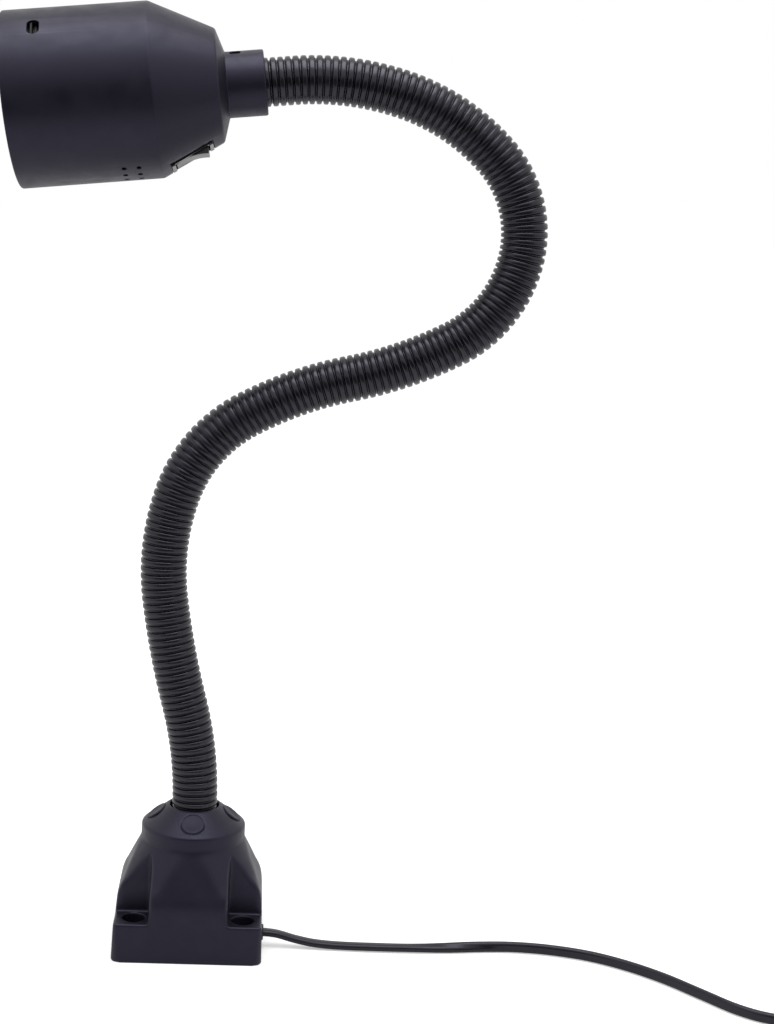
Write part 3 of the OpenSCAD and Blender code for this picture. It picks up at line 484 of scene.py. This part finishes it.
def make_lead():
    """The flat lead: it leaves the base lying flat and turns on edge further out."""
    free = through(ROUTE, 5)
    line = free + [coil_point(i / COIL_PARTS) for i in range(1, int(COIL_PARTS * COIL_TURNS))]
    line += through(TAIL, 4)
    edge_on = [ramp(p.x, TURN_FROM, TURN_TO) if i < len(free) else 1.0 for i, p in enumerate(line)]
    drop = (CORD_D - CORD_T) / 2
    line = [p - Vector((0, 0, drop * ramp(p.x, DROP_FROM, DROP_TO) * (1 - e)))
            for p, e in zip(line, edge_on)]
    section = lead_section()
    rings = []
    for i, (p, e) in enumerate(zip(line, edge_on)):
        ahead = (line[min(i + 1, len(line) - 1)] - line[max(i - 1, 0)]).normalized()
        side = Vector((0, 0, 1)).cross(ahead).normalized()
        up = ahead.cross(side)
        turn = math.radians(90) * e
        wide = math.cos(turn) * side + math.sin(turn) * up
        thick = ahead.cross(wide)
        rings.append([(p + a * wide + b * thick) * MM for a, b in section])
    path = [p * MM for p in line]
    length = sum((b - a).length for a, b in zip(path, path[1:]))
    mesh = loft("mains_lead", rings)
    outward(mesh)
    crisp(mesh, 60)
    return add("mains_lead", mesh), path, length


def rounded(half_x, half_z, power, count):
    """Points round a form that is an ellipse at power 2 and comes near a box as the power grows."""
    ring = []
    for k in range(count):
        a = 2 * math.pi * k / count
        c, s = math.cos(a), math.sin(a)
        ring.append((half_x * math.copysign(abs(c) ** (2 / power), c),
                     half_z * math.copysign(abs(s) ** (2 / power), s)))
    return ring


BOOT_RINGS = 5
BOOT_STEP = 2.4
GRIPS = 3
GRIP_STEP = 2.0


def make_plug():
    """The plug with its ringed boot, drawn-in waist and three grip ribs on each broad side."""
    # How far along the plug, half width, half height and power of the rounded form
    sections = []
    for i in range(BOOT_RINGS):
        y = 0.3 + i * BOOT_STEP
        sections += [(y, 3.0 - 0.02 * i, 3.0, 2), (y + 0.35, 3.4, 3.4, 2), (y + 1.35, 3.4, 3.4, 2),
                     (y + 1.7, 3.0, 3.0, 2)]
    sections += [(12.2, 3.6, 3.5, 2), (12.6, 4.8, 4.2, 2.3), (13.6, 5.4, 4.5, 2.6), (16.5, 6.6, 4.9, 2.8),
                 (19.5, 9.4, 5.7, 3.0), (22.0, 12.2, 6.5, 3.3)]
    for i in range(GRIPS):
        y = 23.0 + i * GRIP_STEP
        sections += [(y, 13.1 + 0.3 * i, 6.6, 3.6), (y + 0.4, 13.2 + 0.3 * i, 6.9, 3.6),
                     (y + 1.0, 13.3 + 0.3 * i, 6.9, 3.6), (y + 1.4, 13.4 + 0.3 * i, 6.6, 3.6)]
    sections += [(29.5, 14.4, 6.5, 4.0), (32.0, 14.9, 6.5, 4.4), (33.2, 14.95, 6.45, 4.6),
                 (33.8, 14.7, 6.2, 4.6), (34.0, 14.2, 5.8, 4.6)]
    rings = [[mm(PLUG_X + x, PLUG_Y + y, PLUG_Z + z) for x, z in rounded(hx, hz, power, 64)]
             for y, hx, hz, power in sections]
    mesh = loft("plug", rings)
    crisp(mesh, 40)
    return add("plug", mesh)


lead, LEAD_PATH, LEAD_LENGTH = make_lead()
plug = dress(make_plug(), PLUG, "base")
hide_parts("plug_body")
tie = dress(softened("cord_tie", "lead_tie", 0.25), TRIM, "base")
dress(lead, LEAD, "base")
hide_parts("power_cord", "cord_coil")


# Gooseneck's sleeve

HOSE_R = 10.6
BORE_R = 8.3
RIBS = 15
TAIL_RIBS = 6
SIDES = 64
SLEEVE_WELD = 1e-7
# Depth below the ribs' tops at places along one rib, from groove to groove
HALF_RIB = [(0.0, 1.3), (0.085, 1.26), (0.12, 0.9), (0.15, 0.48), (0.19, 0.24), (0.26, 0.09), (0.36, 0.02)]
# Depth past which a groove's faces take the material that paints shade into the grooves
GROOVE_DEEP = 0.7
RIB = HALF_RIB + [(0.5, 0.0)] + [(1 - u, deep) for u, deep in reversed(HALF_RIB[1:])]
BENDS = [Vector(j["pos_m"]) / MM for j in frame["joints"] if j["name"].startswith("bend_")]
LENGTHS = len(BENDS) - 1


def headings():
    """The hose's heading in degrees at each bending place, from the chords between them."""
    found = [90.0]
    for a, b in zip(BENDS, BENDS[1:]):
        chord = math.degrees(math.atan2(b.z - a.z, b.x - a.x))
        turn = 2 * ((chord - found[-1] + 180) % 360 - 180)
        found.append(found[-1] + turn)
    return found


HEADINGS = headings()
FIRST_TURN = math.radians(HEADINGS[1] - HEADINGS[0])
BEND_LEN = round((BENDS[1] - BENDS[0]).length * FIRST_TURN / 2 / math.sin(FIRST_TURN / 2), 3)
PITCH = BEND_LEN / RIBS
FOOT_RIBS = round((BENDS[0].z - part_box("hose_1")[0][2] / MM) / PITCH)


def hose_at(s):
    """Point and heading in radians at s millimetres past the first bending place."""
    end = LENGTHS * BEND_LEN
    if s <= 0:
        return BENDS[0] + Vector((0, 0, s)), math.radians(HEADINGS[0])
    if s >= end:
        a = math.radians(HEADINGS[-1])
        return BENDS[-1] + (s - end) * Vector((math.cos(a), 0, math.sin(a))), a
    k = min(int(s / BEND_LEN), LENGTHS - 1)
    e = s - k * BEND_LEN
    turn = math.radians(HEADINGS[k + 1] - HEADINGS[k]) * e / BEND_LEN
    chord = e if abs(turn) < 1e-9 else e * math.sin(turn / 2) / (turn / 2)
    a = math.radians(HEADINGS[k])
    b = a + turn / 2
    return BENDS[k] + chord * Vector((math.cos(b), 0, math.sin(b))), a + turn


def hose_ring(s, r):
    centre, a = hose_at(s)
    side = Vector((-math.sin(a), 0, math.cos(a)))
    ring = []
    for k in range(SIDES):
        t = 2 * math.pi * k / SIDES
        ring.append((centre + r * (math.cos(t) * side + math.sin(t) * Vector((0, -1, 0)))) * MM)
    return ring


def make_sleeve(number, first, ribs):
    """One length of ribbed sleeve with its bore, from s = first on."""
    outer = []
    for i in range(ribs):
        outer += [hose_ring(first + (i + u) * PITCH, HOSE_R - deep) for u, deep in RIB]
    last = first + ribs * PITCH
    outer.append(hose_ring(last, HOSE_R - RIB[0][1]))
    inner = [hose_ring(last - (last - first) * i / (2 * ribs), BORE_R) for i in range(2 * ribs + 1)]
    rings = outer + inner
    mesh = loft("sleeve_%d" % number, rings + [rings[0]], caps=False)
    depths = [deep for u, deep in RIB] * ribs + [RIB[0][1]]
    for i in range(len(depths) - 1):
        # Faces deep in a groove get the second material, the painted groove shade
        if (depths[i] + depths[i + 1]) / 2 > GROOVE_DEEP:
            for face in range(i * SIDES, (i + 1) * SIDES):
                mesh.polygons[face].material_index = 1
    outward(mesh, SLEEVE_WELD)
    crisp(mesh, 75)
    return add("sleeve_%d" % number, mesh)


def sleeve_start(number):
    if number == 1:
        return -FOOT_RIBS * PITCH
    return (number - 2) * BEND_LEN + RIBS // 2 * PITCH


INNER_LEAD_R = 1.8
INNER_LEAD_LOW = [(1.5, 2, 16.6), (1.5, 2, 20.6), (1, 1, 26.6), (0, 0, 33.6)]
INNER_LEAD_START = -FOOT_RIBS * PITCH - 9
INNER_LEAD_TAIL = 39.0
INNER_LEAD_STEP = 4.0
INNER_LEAD_SIDES = 24


def make_inner_lead(number, first, last):
    """One length of the lead inside the gooseneck; the first also runs down into the base."""
    parts = round((last - first) / INNER_LEAD_STEP)
    line = [hose_at(first + (last - first) * i / parts)[0] for i in range(parts + 1)]
    if number == 1:
        line = through(INNER_LEAD_LOW + line[:1], 4) + line[1:]
    angles = [2 * math.pi * k / INNER_LEAD_SIDES for k in range(INNER_LEAD_SIDES)]
    rings = []
    for i, p in enumerate(line):
        ahead = (line[min(i + 1, len(line) - 1)] - line[max(i - 1, 0)]).normalized()
        side = Vector((0, 1, 0)).cross(ahead).normalized()
        up = ahead.cross(side)
        rings.append([(p + INNER_LEAD_R * (math.cos(t) * side + math.sin(t) * up)) * MM for t in angles])
    mesh = loft("inner_lead_%d" % number, rings)
    outward(mesh)
    crisp(mesh, 60)
    return add("inner_lead_%d" % number, mesh)


def make_gooseneck():
    for k in range(1, LENGTHS + 2):
        first = sleeve_start(k)
        last = LENGTHS * BEND_LEN + TAIL_RIBS * PITCH if k == LENGTHS + 1 else sleeve_start(k + 1)
        piece = make_sleeve(k, first, round((last - first) / PITCH))
        dress(piece, SLEEVE)
        piece.data.materials.append(GROOVE_SHADE)
        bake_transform(piece)
        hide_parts("hose_%d" % k)
        inner = make_inner_lead(k, INNER_LEAD_START if k == 1 else first,
                                LENGTHS * BEND_LEN + INNER_LEAD_TAIL if k == LENGTHS + 1 else last)
        dress(inner, LEAD)
        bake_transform(inner)
        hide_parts("lamp_lead")


make_gooseneck()


# Base and head

LEDGE_Z = 18.0
COLLAR_Z = 49.7
WALL = 2.2
NO_LIMIT = 99
# The shoulders under the collar: radius and half width at SHOULDER_Z, how they lean in, and the height
# down to which they are drawn in
SHOULDER_Z = 50
ROUND_R = 23.9
ROUND_LEAN = math.tan(math.radians(31))
ROUND_TO = 33.0
FLAT_R = 24.0
FLAT_LEAN = math.tan(math.radians(22.6))
FLAT_TO = 20.0


def shouldered(p, normals):
    """The cover drawn in to its sloping shoulders, outside and, a wall further in, inside."""
    z = p[:, 2]
    radial = np.linalg.norm(p[:, :2], axis=1)
    facing = (p[:, :2] * normals[:, :2]).sum(1) / np.maximum(radial, 1)
    wall = WALL * np.clip(-2 * facing, 0, 1)
    below = SHOULDER_Z - z
    over = np.where(z > COLLAR_Z - 0.05, NO_LIMIT, 0)
    free = over + 2 * np.maximum(ROUND_TO - z, 0)
    cap = np.minimum(1, (ROUND_R + below * ROUND_LEAN - wall + free) / np.maximum(radial, 1))
    made = p.copy()
    made[:, :2] *= cap.reshape(-1, 1)
    flat = FLAT_R + below * FLAT_LEAN - wall + over + 2 * np.maximum(FLAT_TO - z, 0)
    for k in (0, 1):
        made[:, k] = np.sign(made[:, k]) * np.minimum(np.abs(made[:, k]), flat)
    return made


LEAST_SOFT = 0.04


def cover_softness(p):
    """Most on the arms' upright edges and roofs, least on the foot, the ledges and the collar."""
    x, y, z = np.abs(p[:, 0]), np.abs(p[:, 1]), p[:, 2]
    above = np.clip((z - LEDGE_Z - 1.5) / 4, 0, 1) * np.clip((COLLAR_Z + 1.4 - z) / 3, 0, 1)
    out = np.clip((np.maximum(x, y) - 20) / 4, 0, 1)
    return LEAST_SOFT + (1 - LEAST_SOFT) * above * out


dress(moulded("base_cover", "cover", 0.5, shouldered, cover_softness), SHELL, "base")

CONE_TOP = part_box("base_cover")[1].z / MM
CONE_RISE = 9.0
COLLAR_R = 24.25
LIP_R = 12.4
SPOT_R = (COLLAR_R + LIP_R) / 2 - 0.6
SPOT_SIDES = 64
# Radius and height over the cone, from the dished middle to the seat
SPOT_FORM = [(0.0, 0.05), (1.4, 0.08), (2.8, 0.18), (3.9, 0.32), (4.5, 0.36), (4.9, 0.3), (5.2, 0.14),
             (5.38, -0.06), (5.4, -0.3), (5.0, -1.3), (0.0, -1.3)]


def make_spots():
    """Four round plugs on the cone, a little dished and with a soft edge."""
    bm = bmesh.new()
    tilt = math.atan2(CONE_RISE, COLLAR_R - LIP_R)
    height = CONE_TOP - CONE_RISE + (COLLAR_R - SPOT_R) * CONE_RISE / (COLLAR_R - LIP_R)
    seat = Matrix.Translation((SPOT_R, 0, height)) @ Matrix.Rotation(tilt, 4, "Y")
    for quarter in range(4):
        place = Matrix.Rotation(math.radians(90) * quarter, 4, "Z") @ seat
        rings = []
        for r, z in SPOT_FORM:
            count = SPOT_SIDES if r else 1
            turns = [2 * math.pi * k / SPOT_SIDES for k in range(count)]
            rings.append([bm.verts.new(place @ Vector((r * math.cos(t), r * math.sin(t), z)) * MM)
                          for t in turns])
        for low, high in zip(rings, rings[1:]):
            for k in range(SPOT_SIDES):
                m = (k + 1) % SPOT_SIDES
                if len(low) == 1:
                    bm.faces.new((low[0], high[k], high[m]))
                elif len(high) == 1:
                    bm.faces.new((low[m], low[k], high[0]))
                else:
                    bm.faces.new((low[m], low[k], high[k], high[m]))
    bmesh.ops.recalc_face_normals(bm, faces=bm.faces)
    mesh = bpy.data.meshes.new("spot_plugs")
    bm.to_mesh(mesh)
    bm.free()
    crisp(mesh, 50)
    return add("spot_plugs", mesh)


spots = dress(make_spots(), PLUGS, "base")
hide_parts("screw_plugs")

SOFT = [
    ("cord_gland", "lead_relief", 0.25, LEAD, "base", "lead"),
    ("lamp_housing", "housing", 0.25, SHELL, "head", "shell"),
    ("lens_ring", "grooved_ring", 0.12, TRIM, "head", "trim"),
    ("switch_body", "switch_frame", 0.12, SWITCH, "head", "trim"),
    ("switch_rocker", "rocker_key", 0.25, ROCKER, "rocker", "rocker"),
]
for source, name, width, mat, body, slot in SOFT:
    dress(softened(source, name, width), mat, body)


FRAME_DROP = 0.8
FRAME_LAYER = 0.3


def lower_frame():
    """Takes the outermost layer of the switch's frame in, so that it lies nearly flush with the cone."""
    mesh = bpy.data.objects["switch_frame"].data
    co = np.array([v.co for v in mesh.vertices])
    middle = co.mean(0)
    axes = np.linalg.svd(co - middle, full_matrices=False)[2]
    hinge = [j for j in frame["joints"] if j["name"] == "switch_rock"][0]
    turn_axis = np.array(hinge["axis"])
    head = math.radians(HEADINGS[-1])
    along = np.array([math.cos(head), 0, math.sin(head)])
    # The frame's own axis that is neither the rocker's nor along the head, pointed down
    loose = [a for a in axes if abs(a @ turn_axis) < 0.7 and abs(a @ along) < 0.7]
    out = loose[0] * (-1 if loose[0][2] > 0 else 1)
    height = co @ out
    top = height.max()
    for v, h in zip(mesh.vertices, height):
        if h > top - FRAME_LAYER * MM:
            v.co -= Vector(out) * FRAME_DROP * MM


lower_frame()

KEPT = {
    STEEL: ["base_plate", "clamp_flange", "neck_nut"],
    BLACKED: ["base_fitting", "fitting_nut"],
    SCREWS: ["plate_screws", "flange_screws", "clamp_screws", "sink_screws", "board_screws", "neck_screw"],
    ALLOY: ["head_fitting", "heat_sink"],
    CORE: ["core_%d" % k for k in range(1, LENGTHS + 1)],
    CIRCUIT: ["driver_board"],
    DRIVER: ["driver_parts"],
    BLOCK: ["terminal_block"],
    TRIM: ["cord_clamp"],
    WIRES: ["supply_wires", "head_wires"],
    CONTACTS: ["switch_terminals"],
    BOARD: ["led_board"],
    PHOSPHOR: ["led_chip"],
    MIRROR: ["reflector"],
    CLEAR: ["lens"],
    pin_material((PLUG_Y + PLUG_L) * MM): ["plug_pins"],
}
for mat, names in KEPT.items():
    for name in names:
        dress(NODES[name], mat)


# Stage and light

FLOOR_HALF = 150.0
FLOOR_Z = -0.0002
FLOOR_GLOW = 0.38
WORLD_LIGHT = 0.72
# The dark card in metres: half its width, its near and far edge along Y, its top, and its flat part's height
CARD_X = 1.5
CARD_NEAR = -0.64
CARD_FAR = -1.6
CARD_TOP = 0.8
CARD_Z = 0.001


def make_floor():
    corners = [(-FLOOR_HALF, -FLOOR_HALF, 0), (FLOOR_HALF, -FLOOR_HALF, 0),
               (FLOOR_HALF, FLOOR_HALF, 0), (-FLOOR_HALF, FLOOR_HALF, 0)]
    floor = add("floor", mesh_from("floor", corners, [(0, 1, 2, 3)], smooth=False))
    floor.location.z = FLOOR_Z
    mat, shader = new_material("floor")
    shader.inputs["Base Color"].default_value = (0.9, 0.9, 0.9, 1.0)
    shader.inputs["Roughness"].default_value = 0.9
    shader.inputs["Specular IOR Level"].default_value = 0.0
    path = node(mat, "ShaderNodeLightPath")
    glow = node(mat, "ShaderNodeMath", operation="MULTIPLY")
    glow.inputs[1].default_value = FLOOR_GLOW
    link(mat, path.outputs["Is Camera Ray"], glow.inputs[0])
    shader.inputs["Emission Color"].default_value = (1.0, 1.0, 1.0, 1.0)
    link(mat, glow.outputs[0], shader.inputs["Emission Strength"])
    floor.data.materials.append(mat)


def make_card():
    """A dark card under and behind the camera, flat and then upright, which only gloss shows."""
    corners = [(-CARD_X, CARD_NEAR, CARD_Z), (CARD_X, CARD_NEAR, CARD_Z), (CARD_X, CARD_FAR, CARD_Z),
               (-CARD_X, CARD_FAR, CARD_Z), (CARD_X, CARD_FAR, CARD_TOP), (-CARD_X, CARD_FAR, CARD_TOP)]
    card = add("dark_card", mesh_from("dark_card", corners, [(0, 1, 2, 3), (3, 2, 4, 5)], smooth=False))
    mat, shader = new_material("dark_card")
    shader.inputs["Base Color"].default_value = (0.02, 0.02, 0.02, 1.0)
    shader.inputs["Roughness"].default_value = 1.0
    shader.inputs["Specular IOR Level"].default_value = 0.0
    card.data.materials.append(mat)
    card.visible_camera = False
    card.visible_shadow = False
    card.visible_diffuse = False


def area_light(name, place, target, size, watts):
    data = bpy.data.lights.new(name, "AREA")
    data.shape = "RECTANGLE"
    data.size, data.size_y = size
    data.energy = watts
    lamp = add(name, data)
    lamp.location = place
    lamp.rotation_euler = (Vector(target) - Vector(place)).to_track_quat("-Z", "Y").to_euler()


def make_world():
    world = bpy.data.worlds.new("studio")
    world.use_nodes = True
    bpy.context.scene.world = world
    nodes, links = world.node_tree.nodes, world.node_tree.links
    nodes.clear()
    out = nodes.new("ShaderNodeOutputWorld")
    shown = nodes.new("ShaderNodeBackground")
    lit = nodes.new("ShaderNodeBackground")
    shown.inputs["Color"].default_value = (1.0, 1.0, 1.0, 1.0)
    lit.inputs["Color"].default_value = (1.0, 1.0, 1.0, 1.0)
    lit.inputs["Strength"].default_value = WORLD_LIGHT
    path = nodes.new("ShaderNodeLightPath")
    either = nodes.new("ShaderNodeMath")
    either.operation = "MAXIMUM"
    any_of = nodes.new("ShaderNodeMath")
    any_of.operation = "MAXIMUM"
    links.new(path.outputs["Is Camera Ray"], either.inputs[0])
    links.new(path.outputs["Is Glossy Ray"], either.inputs[1])
    links.new(either.outputs[0], any_of.inputs[0])
    links.new(path.outputs["Is Transmission Ray"], any_of.inputs[1])
    mix = nodes.new("ShaderNodeMixShader")
    links.new(any_of.outputs[0], mix.inputs["Fac"])
    links.new(lit.outputs[0], mix.inputs[1])
    links.new(shown.outputs[0], mix.inputs[2])
    links.new(mix.outputs[0], out.inputs["Surface"])


make_floor()
make_card()
make_world()
area_light("overhead", (0.0, -0.25, 1.5), (0.0, 0.0, 0.2), (1.3, 0.9), 14.0)
bpy.context.scene.view_settings.view_transform = "Standard"

bpy.context.view_layer.update()
